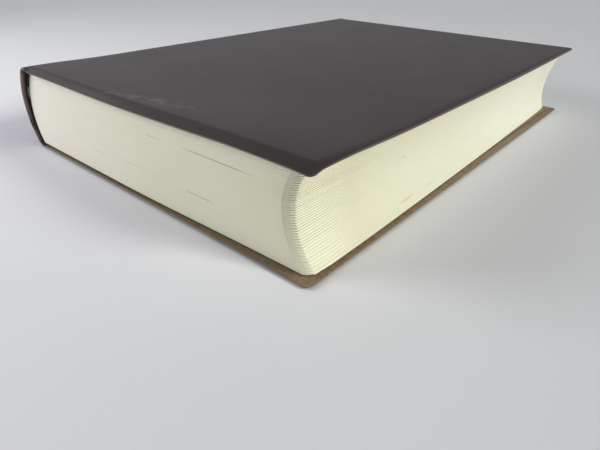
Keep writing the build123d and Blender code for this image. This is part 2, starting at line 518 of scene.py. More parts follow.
# %% Outline of a leaf
# The cut corner as two arcs: radius, first and last direction, and number of steps
corner_arcs = [(13.8 * MM, 24, 36, 5), (0.95 * MM, 36, 90, 7)]
edge_step = 6.0 * MM


def spread(start, end, step):
    """Points from start to just before end, about one step apart."""
    count = max(1, round((end - start).length / step))
    return [start.lerp(end, i / count) for i in range(count)]


def corner_line():
    """The cut corner from the tail edge to the fore edge, moved so that it ends on both."""
    line = [Vector((0.0, 0.0))]
    for radius, first, last, steps in corner_arcs:
        angles = np.radians(np.linspace(first, last, steps + 1))
        for a, b in zip(angles, angles[1:]):
            step = Vector((math.sin(b) - math.sin(a), math.cos(a) - math.cos(b)))
            line.append(line[-1] + radius * step)
    shift = Vector((leaf_high.x - line[-1].x, leaf_low.y))
    return [point + shift for point in line]


tail_arc = corner_line()
head_arc = [Vector((p.x, -p.y)) for p in reversed(tail_arc)]
outline = spread(Vector(leaf_low.xy), tail_arc[0], edge_step) + tail_arc[:-1]
outline += spread(tail_arc[-1], head_arc[0], edge_step) + head_arc[:-1]
outline += spread(head_arc[-1], Vector((leaf_low.x, leaf_high.y)), edge_step)
outline += spread(Vector((leaf_low.x, leaf_high.y)), Vector(leaf_low.xy), edge_step)
print("leaf outline has", len(outline), "points")

# %% How strongly the cut combs the leaves
# The head's corners are combed less. A corner is measured from the middle of its tight turn
head_comb = 0.3
tight_turn = 8
corner_points = [tail_arc[tight_turn], head_arc[-1 - tight_turn]]


def ease(value, low, high):
    """A smooth step from 0 at low to 1 at high."""
    t = np.clip((value - low) / (high - low), 0.0, 1.0)
    return t * t * (3 - 2 * t)


def comb_strength(point, nearest):
    """Most on the fore edge next to the corners, little on the end edges, and less towards the head."""
    if abs(point.y) > leaf_high.y - 0.01 * MM:
        # Tail and head edge: it fades within about 10 mm of the corner
        strength = 0.03 + 0.5 * math.exp(-nearest / (10 * MM))
    elif point in tail_arc or point in head_arc:
        # The cut itself: full in its tight turn only
        strength = 1.0 - 0.85 * float(ease(nearest, 0.8 * MM, 2.0 * MM))
    else:
        # Fore edge: full for 8 mm past the corner, then it fades over about 15 mm
        strength = 0.12 + 0.88 * math.exp(-max(0.0, nearest - 8 * MM) / (15 * MM))
    return strength * head_comb if point.y > 0 else strength


print("combing is worked out from", len(corner_points), "corners")

# %% Outline as a mesh with attributes
# "outward" is the way a leaf steps out of the stack, and "comb" how strongly the cut combs it.
# Use has pushed the leaves askew: "lean" is how far the stack leans, most at the tail's fore
# corner, "settled" is how far the hollow has evened out, most at the head's fore corner, and
# "pushed" is how far the lowest leaves have slid towards the tail. "turn" marks the tight turn of
# each cut corner.
def new_object(name, data):
    """A new object at the origin, linked to the scene."""
    piece = bpy.data.objects.new(name, data)
    bpy.context.scene.collection.objects.link(piece)
    return piece


def store(mesh, name, values):
    """Keep a number or a vector for each point of a mesh, under a name that a node can read."""
    values = np.asarray(values, np.float32)
    kind, key = ("FLOAT_VECTOR", "vector") if values.ndim == 2 else ("FLOAT", "value")
    mesh.attributes.new(name, kind, "POINT").data.foreach_set(key, values.ravel())


count = len(outline)
leaf_size = leaf_high - leaf_low
turn_reach = 1.7 * MM
strengths = ("comb", "lean", "settled", "pushed", "turn")
outline_values = {name: [] for name in ("outward", *strengths)}
for i, point in enumerate(outline):
    tangent = outline[(i + 1) % count] - outline[i - 1]
    normal = Vector((tangent.y, -tangent.x)).normalized()
    nearest = min((point - corner).length for corner in corner_points)
    share_x = (point.x - leaf_low.x) / leaf_size.x
    share_y = (point.y - leaf_low.y) / leaf_size.y
    outline_values["outward"].append((normal.x, normal.y, 0.0))
    outline_values["comb"].append(comb_strength(point, nearest))
    outline_values["lean"].append(-share_x * (1 - share_y))
    outline_values["settled"].append((share_x * share_y) ** 2)
    outline_values["pushed"].append((1 - share_y) * (1 - float(ease(share_x, 0.4, 1.0))))
    outline_values["turn"].append(math.exp(-(nearest / turn_reach) ** 2))
outline_mesh = bpy.data.meshes.new("leaf_outline")
outline_edges = [(i, (i + 1) % count) for i in range(count)]
outline_mesh.from_pydata([(p.x, p.y, 0.0) for p in outline], outline_edges, [])
for name, values in outline_values.items():
    store(outline_mesh, name, values)
text_block = new_object("leaf_stack", outline_mesh)
print("outline mesh carries outward and", strengths)

# %% [markdown]
# The tree has named inputs for its sizes. In the grid, one square is one step round the outline
# and one step up the stack, so a vertex's own place says which point of the outline and which row
# it belongs to.

# %% Tree inputs and the grid
def new_geometry_tree(name, inputs):
    """A geometry tree with named inputs and a mesh output, its sockets, and what they give."""
    tree = bpy.data.node_groups.new(name, "GeometryNodeTree")
    sockets = {}
    for label, kind in inputs.items():
        socket_type = "NodeSocket" + kind
        sockets[label] = tree.interface.new_socket(label, in_out="INPUT", socket_type=socket_type)
    tree.interface.new_socket("Mesh", in_out="OUTPUT", socket_type="NodeSocketGeometry")
    return tree, sockets, add(tree, "NodeGroupInput").outputs


stack_tree, stack_inputs, given = new_geometry_tree("leaf_stack", {
    "Outline": "Geometry", "Columns": "Int", "Rows": "Int", "Signatures": "Int",
    "Bottom": "Float", "Thickness": "Float", "Back radius": "Float", "Groove depth": "Float",
    "Signature scatter": "Float", "Leaf scatter": "Float", "Waviness": "Float", "Lean": "Float",
    "Settling": "Float", "Push": "Float", "Low rounding": "Float", "Seed": "Int", "Paper": "Material",
})
columns_plus = maths(stack_tree, "ADD", given["Columns"], 1.0)
rows_plus = maths(stack_tree, "ADD", given["Rows"], 1.0)
grid = add(stack_tree, "GeometryNodeMeshGrid", {
    "Size X": given["Columns"], "Size Y": given["Rows"],
    "Vertices X": columns_plus, "Vertices Y": rows_plus,
})
cell = add(stack_tree, "ShaderNodeSeparateXYZ", {0: add(stack_tree, "GeometryNodeInputPosition")})
half_columns = maths(stack_tree, "DIVIDE", given["Columns"], 2.0)
half_rows = maths(stack_tree, "DIVIDE", given["Rows"], 2.0)
column_place = maths(stack_tree, "ADD", cell.outputs["X"], half_columns)
column_round = maths(stack_tree, "ROUND", column_place)
column = maths(stack_tree, "MODULO", column_round, given["Columns"])
row_place = maths(stack_tree, "ADD", cell.outputs["Y"], half_rows)
row = maths(stack_tree, "ROUND", row_place)
print("stack tree takes", len(stack_inputs), "inputs")

# %% [markdown]
# Each vertex looks up its point of the outline, and the direction and strength of the comb there.
# The row gives the signature: a groove runs between two signatures, and each signature stands out
# or back by a random hair.

# %% Looking up the outline
fields = {"place": add(stack_tree, "GeometryNodeInputPosition")}
for name in outline_values:
    fields[name] = add(stack_tree, "GeometryNodeInputNamedAttribute", {
        "Name": name,
    }, data_type="FLOAT" if name in strengths else "FLOAT_VECTOR")
looked_up = {}
for name, field in fields.items():
    looked_up[name] = add(stack_tree, "GeometryNodeSampleIndex", {
        "Geometry": given["Outline"], "Value": field, "Index": column,
    }, data_type="FLOAT" if name in strengths else "FLOAT_VECTOR")
print("outline looked up by column")

# %% Signatures
share = maths(stack_tree, "DIVIDE", row, given["Rows"])
signature_place = maths(stack_tree, "MULTIPLY", share, given["Signatures"])
signature = maths(stack_tree, "FLOOR", signature_place)
within = maths(stack_tree, "FRACT", signature_place)
from_middle = maths(stack_tree, "MULTIPLY_ADD", within, 2.0, -1.0)
edge_share = maths(stack_tree, "ABSOLUTE", from_middle)
groove_shape = maths(stack_tree, "POWER", edge_share, 3.0)
groove = maths(stack_tree, "MULTIPLY", groove_shape, given["Groove depth"])
signature_draw = add(stack_tree, "FunctionNodeRandomValue", {
    "Min": -1.0, "Max": 1.0, "ID": signature, "Seed": given["Seed"],
}, data_type="FLOAT")
signature_step = maths(stack_tree, "MULTIPLY", signature_draw, given["Signature scatter"])
combed = maths(stack_tree, "SUBTRACT", signature_step, groove)
print("signatures step out and back")

# %% Combing at each vertex
# The combing fades sooner from the corner low in the stack
comb_power = remap(stack_tree, share, 0.0, 0.6, to_low=1.8, to_high=1.0)
comb_level = maths(stack_tree, "POWER", looked_up["comb"], comb_power)
combed_here = maths(stack_tree, "MULTIPLY", combed, comb_level)
leaf_draw = add(stack_tree, "FunctionNodeRandomValue", {
    "Min": -1.0, "Max": 1.0, "ID": row, "Seed": given["Seed"],
}, data_type="FLOAT")
scattered = maths(stack_tree, "MULTIPLY_ADD", leaf_draw, given["Leaf scatter"], combed_here)

# Low in the stack the cut corners are worn round
low_share = remap(stack_tree, share, 0.3, 0.0)
low_worn = maths(stack_tree, "MULTIPLY", low_share, low_share)
low_turn = maths(stack_tree, "MULTIPLY", low_worn, looked_up["turn"])
low_depth = maths(stack_tree, "MULTIPLY", low_turn, given["Low rounding"])
step_out = maths(stack_tree, "SUBTRACT", scattered, low_depth)
print("each vertex steps out or back by its combing")

# %% [markdown]
# Rounding the back slides every leaf towards the spine along one arc, so the fore edge is hollow
# by the same amount. The leaves also wave a little in height, least next to the covers.

# %% Arc of the back
half_thickness = maths(stack_tree, "DIVIDE", given["Thickness"], 2.0)
above_middle = maths(stack_tree, "ADD", share, -0.5)
height_from_middle = maths(stack_tree, "MULTIPLY", above_middle, given["Thickness"])
radius_squared = maths(stack_tree, "MULTIPLY", given["Back radius"], given["Back radius"])
depths = []
for height in (half_thickness, height_from_middle):
    squared = maths(stack_tree, "MULTIPLY", height, height)
    rest = maths(stack_tree, "SUBTRACT", radius_squared, squared)
    depths.append(maths(stack_tree, "SQRT", rest))
slide = maths(stack_tree, "SUBTRACT", depths[0], depths[1])
print("leaves slide along the arc")

# %% Waves and lean
# Waves about 45 mm long
wave = noise(stack_tree, looked_up["place"], 1 / 0.045, 1.0)
wave_signed = maths(stack_tree, "MULTIPLY_ADD", wave, 2.0, -1.0)
half_turn = maths(stack_tree, "MULTIPLY", share, math.pi)
wave_fade = maths(stack_tree, "SINE", half_turn)
wave_size = maths(stack_tree, "MULTIPLY", wave_fade, given["Waviness"])
height_in_stack = maths(stack_tree, "MULTIPLY", share, given["Thickness"])
resting_height = maths(stack_tree, "ADD", height_in_stack, given["Bottom"])
leaf_height = maths(stack_tree, "MULTIPLY_ADD", wave_signed, wave_size, resting_height)
leaning = maths(stack_tree, "MULTIPLY", above_middle, given["Lean"])
leaned = maths(stack_tree, "MULTIPLY_ADD", leaning, looked_up["lean"], slide)
print("leaves wave and lean")

# %% Settling and push
# Where the block has settled, its upper leaves come forward, and its lower leaves lie back by less
forward_gain = 4.5
from_top = maths(stack_tree, "SUBTRACT", 1.0, share)
back = maths(stack_tree, "MULTIPLY", from_top, from_top)
share_squared = maths(stack_tree, "MULTIPLY", share, share)
forward = maths(stack_tree, "MULTIPLY", share_squared, forward_gain)
forward_or_back = maths(stack_tree, "SUBTRACT", forward, back)
settling = maths(stack_tree, "MULTIPLY", forward_or_back, from_top)
settling_size = maths(stack_tree, "MULTIPLY", settling, given["Settling"])
slide_here = maths(stack_tree, "MULTIPLY_ADD", settling_size, looked_up["settled"], leaned)

# The lowest leaves have slid towards the tail
push_share = maths(stack_tree, "MULTIPLY", from_top, given["Push"])
push_size = maths(stack_tree, "MULTIPLY", push_share, looked_up["pushed"])
push = maths(stack_tree, "MULTIPLY", push_size, -1.0)
lift = add(stack_tree, "ShaderNodeCombineXYZ", {"X": slide_here, "Y": push, "Z": leaf_height})
print("leaves settle and slide towards the tail")

# %% Place and groove of each vertex
stepped = add(stack_tree, "ShaderNodeVectorMath", {
    0: looked_up["outward"], "Scale": step_out,
}, operation="SCALE")
on_outline = add(stack_tree, "ShaderNodeVectorMath", {
    0: looked_up["place"], 1: stepped,
}, operation="ADD")
leaf_place = add(stack_tree, "ShaderNodeVectorMath", {0: on_outline, 1: lift}, operation="ADD")

# The painted shade in the grooves darkens towards the top of the stack, each by its own amount
groove_draw = maths(stack_tree, "MULTIPLY_ADD", signature_draw, 0.25, 0.75)
groove_shade_level = maths(stack_tree, "MULTIPLY_ADD", share, 1.1, 0.2)
groove_shade_depth = maths(stack_tree, "MULTIPLY", groove_draw, groove_shade_level)
groove_line = maths(stack_tree, "POWER", edge_share, 4.0)
groove_shade_dark = maths(stack_tree, "MULTIPLY", groove_line, groove_shade_depth)
groove_shade_here = maths(stack_tree, "MULTIPLY", groove_shade_dark, comb_level)
print("each vertex has its place and its groove")

# %% Winding the grid and closing the tree
marked = grid.outputs["Mesh"]
for name, value in [
    ("level", height_in_stack),
    ("groove", groove_shade_here),
    ("combed", looked_up["comb"]),
]:
    marked = add(stack_tree, "GeometryNodeStoreNamedAttribute", {
        "Geometry": marked, "Name": name, "Value": value,
    }, data_type="FLOAT", domain="POINT")
wound = add(stack_tree, "GeometryNodeSetPosition", {"Geometry": marked, "Position": leaf_place})
seam_gap = 0.0005 * MM
closed = add(stack_tree, "GeometryNodeMergeByDistance", {"Geometry": wound, "Distance": seam_gap})
realized = add(stack_tree, "GeometryNodeRealizeInstances", {"Geometry": closed})
papered = add(stack_tree, "GeometryNodeSetMaterial", {
    "Geometry": realized, "Material": given["Paper"],
})
add(stack_tree, "NodeGroupOutput", {"Mesh": papered})
print("stack tree has", len(stack_tree.nodes), "nodes")

# %% [markdown]
# The modifier's inputs are set by socket identifier before Blender looks at the object for the
# first time. Then the result becomes a plain mesh, so that the export gets it, and the open top
# and bottom are closed with a leaf each.

# %% Making the stack
def apply_tree(piece, group, sockets, values):
    """Run a geometry tree on a piece and keep the result as its plain mesh."""
    modifier = piece.modifiers.new(group.name, "NODES")
    modifier.node_group = group
    for name, value in values.items():
        modifier[sockets[name].identifier] = value
    depsgraph = bpy.context.evaluated_depsgraph_get()
    mesh = bpy.data.meshes.new_from_object(piece.evaluated_get(depsgraph), depsgraph=depsgraph)
    piece.modifiers.clear()
    piece.data = mesh
    return mesh


signatures = 40
rows_in_signature = 6
stack_mesh = apply_tree(text_block, stack_tree, stack_inputs, {
    "Columns": len(outline),
    "Rows": signatures * rows_in_signature,
    "Signatures": signatures,
    "Bottom": block_low.z,
    "Thickness": block_thickness,
    "Back radius": back_radius,
    "Groove depth": 0.2 * MM,
    "Signature scatter": 0.035 * MM,
    "Leaf scatter": 0.01 * MM,
    "Waviness": 0.25 * MM,
    "Lean": 2.7 * MM,
    "Settling": 2.0 * MM,
    "Push": 1.4 * MM,
    "Low rounding": 0.45 * MM,
    "Seed": 7,
    "Paper": leaf_paper,
})
print("stack has", len(stack_mesh.vertices), "vertices")

# %% Closing the stack
def tidy_mesh(mesh, sharp_degrees):
    """Close open ends, turn the faces outwards and keep only real corners sharp."""
    shell = bmesh.new()
    shell.from_mesh(mesh)
    bmesh.ops.holes_fill(shell, edges=[e for e in shell.edges if e.is_boundary], sides=0)
    bmesh.ops.recalc_face_normals(shell, faces=shell.faces)
    shell.to_mesh(mesh)
    shell.free()
    mesh.shade_smooth()
    mesh.set_sharp_from_angle(angle=math.radians(sharp_degrees))


tidy_mesh(stack_mesh, sharp_degrees=20)
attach(text_block, "text_block")
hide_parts("text_block")
print("leaf stack closed:", len(stack_mesh.polygons), "faces")

# %% [markdown]
# ## The case
# The case is one limp skin round the book: thin card inside vinyl, with soft edges where the
# vinyl runs past the card, and bare vinyl at the joints. As a skin it could be a flat sheet with
# a Solidify modifier, but its thickness changes from joint to board to soft rim, so it is built
# as a bent plate: a section path from the middle of the spine round the shoulder to the fore
# edge, carried from tail to head, with an outer and an inner face and a rounded rim between them.
# The front and the back half meet along the middle of the spine, and each runs from there over its
# own hinge to the fore edge.

# %% Section of the case
spine_wall = 0.9 * MM
joint_wall = 0.6 * MM
rim_depth = 0.35 * MM
rim_corner = 1.8 * MM - rim_depth
fore_end = cover_high.x - rim_depth
spine_radius = arc_x - spine_low.x
shoulder_radius = 5.2 * MM
joint_level = spine_high.z
shoulder_z = joint_level - shoulder_radius
shoulder_x = arc_x - math.sqrt((spine_radius - shoulder_radius) ** 2 - (shoulder_z - middle) ** 2)
shoulder_angle = math.atan2(shoulder_z - middle, shoulder_x - arc_x)
spine_steps, shoulder_steps, joint_steps, plain_steps = 25, 13, 14, 30
# How far each row near a soft edge lies in from it
edge_offsets = np.array([
    0, 0.25, 0.5, 0.75, 1.0, 1.2, rim_corner / MM, 2.0, 2.6, 3.1, 3.6, 4.3, 5.2, 6.2, 8.5, 11.5, 11.6,
]) * MM


def case_section():
    """Stations from mid-spine to the fore edge: place x z, outward normal x z, wall thickness."""
    spine_angles = math.pi + (shoulder_angle - math.pi) * np.linspace(0, 1, spine_steps) ** 1.3
    turns = [(arc_x, middle, spine_radius, angle, spine_wall) for angle in spine_angles]
    shoulder_angles = np.linspace(shoulder_angle, math.pi / 2, shoulder_steps)
    for share, angle in zip(np.linspace(0, 1, shoulder_steps)[1:], shoulder_angles[1:]):
        wall = spine_wall + (joint_wall - spine_wall) * float(ease(share, 0.0, 0.6))
        turns.append((shoulder_x, shoulder_z, shoulder_radius, angle, wall))
    stations = []
    for centre_x, centre_z, radius, angle, wall in turns:
        way_x, way_z = math.cos(angle), math.sin(angle)
        stations.append((centre_x + radius * way_x, centre_z + radius * way_z, way_x, way_z, wall))
    near_joint = np.linspace(shoulder_x, hinge_x + 2.4 * MM, joint_steps)[1:]
    plain = np.linspace(hinge_x + 3 * MM, fore_end - 14 * MM, plain_steps)
    for x in [*near_joint, *plain, *(fore_end - edge_offsets[::-1])]:
        risen = float(ease(x, hinge_x, hinge_x + 1.2 * MM))
        thickened = float(ease(x, hinge_x, hinge_x + 0.8 * MM))
        level_here = joint_level + (total_thickness - joint_level) * risen
        wall = joint_wall + (cover_thickness - joint_wall) * thickened
        stations.append((x, level_here, 0.0, 1.0, wall))
    return np.array(stations)


section = case_section()
print("case section has", len(section), "stations")

# %% [markdown]
# From tail to head the rows lie close together near the soft edges. In the two fore corners the
# square grid is eased into a quarter disc, which keeps every face four-sided while the corner
# becomes round. The soft margin then falls away from the card, most along the worn tail edge of
# the front cover.

# %% Rows and corner easing
half_height = cover_high.y - rim_depth
plain_end = half_height - 15 * MM
plain_rows = 39
middle_rows = np.linspace(-plain_end, plain_end, plain_rows)
rows = np.concatenate([-half_height + edge_offsets, middle_rows, half_height - edge_offsets[::-1]])
# The area inside the cover that the turned-in vinyl leaves bare
turn_in = 11.55 * MM
window_end = fore_end - turn_in
window_half = half_height - turn_in


def round_corner(x, y):
    """Ease a place in the fore corner's square into a quarter disc; other places stay."""
    centre_x, centre_y = fore_end - rim_corner, half_height - rim_corner
    a = np.clip((x - centre_x) / rim_corner, 0.0, None)
    b = np.clip((abs(y) - centre_y) / rim_corner, 0.0, None)
    if a == 0.0 or b == 0.0:
        return x, y
    eased_y = centre_y + rim_corner * b * math.sqrt(1 - a * a / 2)
    return centre_x + rim_corner * a * math.sqrt(1 - b * b / 2), math.copysign(eased_y, y)


def edge_distance(x, y):
    """How far a place on the cover is from its nearest free edge."""
    over_x = x - (fore_end - rim_corner)
    over_y = abs(y) - (half_height - rim_corner)
    if over_x > 0 and over_y > 0:
        return max(0.0, rim_corner - math.hypot(over_x, over_y))
    return min(fore_end - x, half_height - abs(y))


print("rows from tail to head:", len(rows))

# %% Wear of the soft margin
end_margin = 3.6 * MM
worn_margin = 2.6 * MM
fore_margin = 5.0 * MM
fore_power = 5
tail_lift = 0.5 * MM
corner_lift = 0.45 * MM
corner_droop = 0.45 * MM
droop_reach = 2.6 * MM
tip_reach = 3 * MM
# How far the worn margin falls, in mm: along the tail edge by X, and along the fore edge by Y
tail_places = [-60, -40, -20, 0, 15, 30, 45, 66]
tail_falls = [1.3, 1.3, 1.5, 1.5, 1.35, 1.22, 1.0, 1.05]
fore_places = [-92, -80, -68, -56, -45, -28, 0, 18, 40, 60, 92]
fore_falls = [0.6, 0.35, 0.25, 0.27, 0.3, 0.36, 0.46, 0.5, 0.48, 0.42, 0.28]
plain_fall = 0.4


def margin_fall(x, y, worn):
    """How far the soft margin hangs below the card's face at one place."""
    worn_tail = worn and y < 0
    margin = end_margin
    end_fall = plain_fall
    if worn_tail:
        margin = worn_margin + (end_margin - worn_margin) * float(ease(x, -20 * MM, 50 * MM))
        end_fall = float(np.interp(x / MM, tail_places, tail_falls))
    softness = 1.2 - 0.2 * float(ease(x, -10 * MM, 45 * MM))
    end_fall *= max(0.0, 1 - (half_height - abs(y)) / margin) ** softness
    end_fall *= float(ease(x, shoulder_x - 2 * MM, shoulder_x + 3 * MM))
    fore_fall = float(np.interp(y / MM, fore_places, fore_falls)) if worn else plain_fall
    fore_fall *= max(0.0, 1 - (fore_end - x) / fore_margin) ** fore_power
    return math.hypot(end_fall, fore_fall) * MM


def worn_lift(x, y, distance):
    """How far the worn cover curls up along its tail edge and corner, where only the tip hangs."""
    lift = tail_lift * float(ease(y, -60 * MM, -88 * MM))
    lift += corner_lift * float(ease(x, 0.0, 48 * MM) * ease(y, -40 * MM, -80 * MM))
    from_corner = math.hypot(fore_end - x, half_height + y)
    at_tip = max(0.0, 1 - distance / droop_reach) * math.exp(-from_corner / tip_reach)
    return lift - corner_droop * at_tip


print("soft margin hangs by up to", max(tail_falls + fore_falls), "mm")

# %% Outer and inner face
window_sink = 0.32 * MM
rim_wall = 0.45 * MM
rim_reach = 2.1 * MM
# How much thicker than plain the worn rim is along the fore edge, in mm
fore_rims = [0.0, 0.25, 0.42, 0.48, 0.48, 0.6, 0.8, 0.85, 0.85, 0.75, 0.45]


def skin_place(station, y, worn):
    """Outer and inner place of one point of the front half. A worn cover curls up at the tail."""
    x, z, normal_x, normal_z, wall = station
    on_cover = x > hinge_x
    if on_cover:
        x, y = round_corner(x, y)
    distance = edge_distance(x, y)
    fall = margin_fall(x, y, worn)
    lift = worn_lift(x, y, distance) * normal_z**2 if worn else 0.0
    wall += lift
    if on_cover:
        rim_share = max(0.0, 1 - distance / rim_reach) * float(ease(x, hinge_x, hinge_x + 2 * MM))
        rim_here = rim_wall
        if worn:
            worn_rim = float(np.interp(y / MM, fore_places, fore_rims)) * MM
            rim_here += worn_rim * float(ease(x, fore_end - 4 * MM, fore_end - 1 * MM))
        wall += (rim_here + fall - wall) * rim_share
        if x < window_end and abs(y) < window_half:
            wall = min(wall, cover_thickness - window_sink)
    outer = (x, y, z + lift - fall)
    inner = (x - wall * normal_x, y, z + lift - wall * normal_z)
    return outer, inner


print("worn rim is up to", max(fore_rims), "mm thicker than plain")

# %% Faces of a plate
rim_steps = 5


def both_faces(long, wide):
    """Quads of a plate's two faces, each a grid of long by wide points, one after the other."""
    quads = []
    for i in range(long - 1):
        for j in range(wide - 1):
            first, second = i * wide + j, (i + 1) * wide + j
            quad = [first, second, second + 1, first + 1]
            quads += [quad, [long * wide + c for c in reversed(quad)]]
    return quads


def plate_faces(long, wide, ring, rim_start):
    """Quads of both faces, of the rim and of the end wall at mid-spine."""
    faces = both_faces(long, wide)
    inner_start = long * wide
    chains = []
    for r, (i, j) in enumerate(ring):
        first = rim_start + r * (rim_steps - 1)
        chains.append([i * wide + j, *range(first, first + rim_steps - 1), inner_start + i * wide + j])
    for here, there in zip(chains, chains[1:]):
        for k in range(rim_steps):
            faces.append([here[k], here[k + 1], there[k + 1], there[k]])
    for j in range(wide - 1):
        faces.append([j, j + 1, inner_start + j + 1, inner_start + j])
    faces.append(chains[0])
    faces.append(chains[-1])
    return faces


print("two faces of 3 by 3 points have", len(both_faces(3, 3)), "quads")

# %% Mesh of a plate
def finish_plate(name, points, faces, flats, sides, rims, flip):
    """Mesh, attributes, material and normals of one case half."""
    mesh = bpy.data.meshes.new(name)
    mesh.from_pydata(points.tolist(), [], faces)
    front = np.zeros(len(sides)) if flip else 1.0 - np.array(sides)
    for label, values in [("flat", flats), ("inner", sides), ("rim", rims), ("front", front)]:
        store(mesh, label, values)
    mesh.materials.append(vinyl)
    tidy_mesh(mesh, sharp_degrees=50)
    piece = new_object(name, mesh)
    return piece


def rim_way(place, on_cover, on_end):
    """The way that the rim bulges at one place: straight out of an edge, and round the corners."""
    over_x = max(0.0, place[0] - (fore_end - rim_corner)) if on_cover else 0.0
    over_y = max(0.0, abs(place[1]) - (half_height - rim_corner))
    if on_end and over_x == 0.0:
        over_y = 1.0
    way = np.array([over_x, math.copysign(over_y, place[1]), 0.0])
    return way / np.linalg.norm(way)


print("rims bulge by", round(rim_depth / MM, 2), "mm")

# %% Plate with a rounded rim
# How far the vinyl is rubbed at the ends of the spine, and how much olive a worn rim shows
outer_rub = 1.4 * MM
inner_rub = 1.0 * MM
worn_olive = 0.45


def bent_plate(name, worn, flip):
    """One half of the case as a closed plate. flip turns the front half into the back half."""
    long, wide = len(section), len(rows)
    outer = np.zeros((long, wide, 3))
    inner = np.zeros((long, wide, 3))
    flat_place = np.zeros((long, wide, 3))
    steps = np.hypot(np.diff(section[:, 0]), np.diff(section[:, 1]))
    along = np.concatenate([[0.0], np.cumsum(steps)])
    along += fore_end - along[-1]
    for i, station in enumerate(section):
        for j, y in enumerate(rows):
            outer[i, j], inner[i, j] = skin_place(station, y, worn)
            flat_place[i, j] = (along[i], outer[i, j, 1], 0.0)
    ring = [(i, 0) for i in range(long)] + [(long - 1, j) for j in range(1, wide)]
    ring += [(i, wide - 1) for i in range(long - 2, -1, -1)]
    points = [*outer.reshape(-1, 3), *inner.reshape(-1, 3)]
    flats = [*flat_place.reshape(-1, 3), *flat_place.reshape(-1, 3)]
    on_cover = ease(section[:, 0], hinge_x - 1 * MM, hinge_x + 1 * MM)
    sides = [0.0] * (long * wide) + np.repeat(on_cover, wide).tolist()
    from_end = half_height - np.abs(rows)
    rubbed_outside = np.clip(1 - from_end / outer_rub, 0.0, 1.0)
    rubbed_inside = np.clip(1 - from_end / inner_rub, 0.0, 1.0)
    on_back = (1 - on_cover) * (1 - ease(section[:, 3], 0.55, 0.9))
    rims = [*np.outer(on_back, rubbed_outside).ravel(), *np.outer(on_back, rubbed_inside).ravel()]
    rim_start = len(points)
    for i, j in ring:
        top, bottom = outer[i, j], inner[i, j]
        on_end = i < long - 1 and j in (0, wide - 1)
        way = rim_way(top, section[i, 0] > hinge_x, on_end)
        rim_olive = worn_olive if worn else 1.0
        olive_start = 0.4 - 0.35 * float(ease(top[0], 10 * MM, 50 * MM))
        for k in range(1, rim_steps):
            angle = math.pi * k / rim_steps
            bulge = rim_depth * math.sin(angle)
            points.append((top + bottom) / 2 + (top - bottom) / 2 * math.cos(angle) + way * bulge)
            flats.append(flat_place[i, j] + way * bulge)
            olive_share = float(ease(k / rim_steps, olive_start, olive_start + 0.4))
            sides.append(on_cover[i] * olive_share * rim_olive)
            rims.append(on_back[i])
    faces = plate_faces(long, wide, ring, rim_start)
    points = np.array(points)
    flats = np.array(flats)
    if flip:
        points[:, 2] = total_thickness - points[:, 2]
        flats[:, 2] = 1.0
    return finish_plate(name, points, faces, flats, sides, rims, flip)


print("plate builder ready")

# %% Case halves
case_front = bent_plate("case_front", worn=True, flip=False)
case_back = bent_plate("case_back", worn=False, flip=True)
for piece, cover, hinge_z in [
    (case_front, "front_cover", total_thickness),
    (case_back, "back_cover", 0.0),
]:
    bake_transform(piece)
    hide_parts(cover, "spine_cover")
    print(piece.name, "has", len(piece.data.polygons), "faces")

# %% [markdown]
# ## Folds of the endpapers
# Each endpaper is one folded sheet: half is pasted to the cover and half is the free flyleaf, and
# the fold bridges the joint. Shut, the fold is tucked up into the hollow under the vinyl.

# %% Fold strips
# The fold's line: from the hinge in X and from the top of the book in Z, in mm
fold_line = [
    (-1.75, -1.33), (-1.45, -1.22), (-1.1, -1.02), (-0.8, -0.88), (-0.5, -0.84), (-0.2, -0.94),
    (0.1, -1.1), (0.4, -1.22), (0.7, -1.275), (1.6, -1.275), (2.6, -1.275),
]
half_paper = 0.06 * MM
end_gap = 0.3 * MM
fold_rows = 24


def endpaper_fold(name, flip):
    """A thin strip along the joint, from the flyleaf up and over to the paste-down."""
    line = [Vector((hinge_x + x * MM, 0.0, total_thickness + z * MM)) for x, z in fold_line]
    rows_y = np.linspace(leaf_low.y + end_gap, leaf_high.y - end_gap, fold_rows)
    long, wide = len(line), len(rows_y)
    points = []
    for offset in (half_paper, -half_paper):
        for n, here in enumerate(line):
            tangent = line[min(n + 1, long - 1)] - line[max(n - 1, 0)]
            normal = Vector((-tangent.z, 0.0, tangent.x)).normalized()
            points += [here + normal * offset + Vector((0.0, y, 0.0)) for y in rows_y]
    faces = both_faces(long, wide)
    border = [(0, j) for j in range(wide)]
    border += [(n, wide - 1) for n in range(1, long)]
    border += [(long - 1, j) for j in range(wide - 2, -1, -1)]
    border += [(n, 0) for n in range(long - 2, 0, -1)]
    keys = [n * wide + j for n, j in border]
    for here, there in zip(keys, keys[1:] + keys[:1]):
        faces.append([here, there, long * wide + there, long * wide + here])
    if flip:
        points = [Vector((p.x, p.y, total_thickness - p.z)) for p in points]
    mesh = bpy.data.meshes.new(name)
    mesh.from_pydata(points, [], faces)
    store(mesh, "flat", [(p.x, p.y, 0.0) for p in points])
    mesh.materials.append(folded_endpaper)
    tidy_mesh(mesh, sharp_degrees=60)
    piece = new_object(name, mesh)
    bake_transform(piece)
    return piece


folds = [
    endpaper_fold("front_endpaper_fold", flip=False),
    endpaper_fold("back_endpaper_fold", flip=True),
]
print("endpaper folds:", [p.name for p in folds])

# %% [markdown]
# ## Threads of the head bands
# The bead of each band is wrapped in thread. One ring of thread, repeated along the arc of the
# bead, is a job for Geometry Nodes: points every 0.28 mm along the arc, a small ring on each,
# turned to follow the arc and varied a little in size.

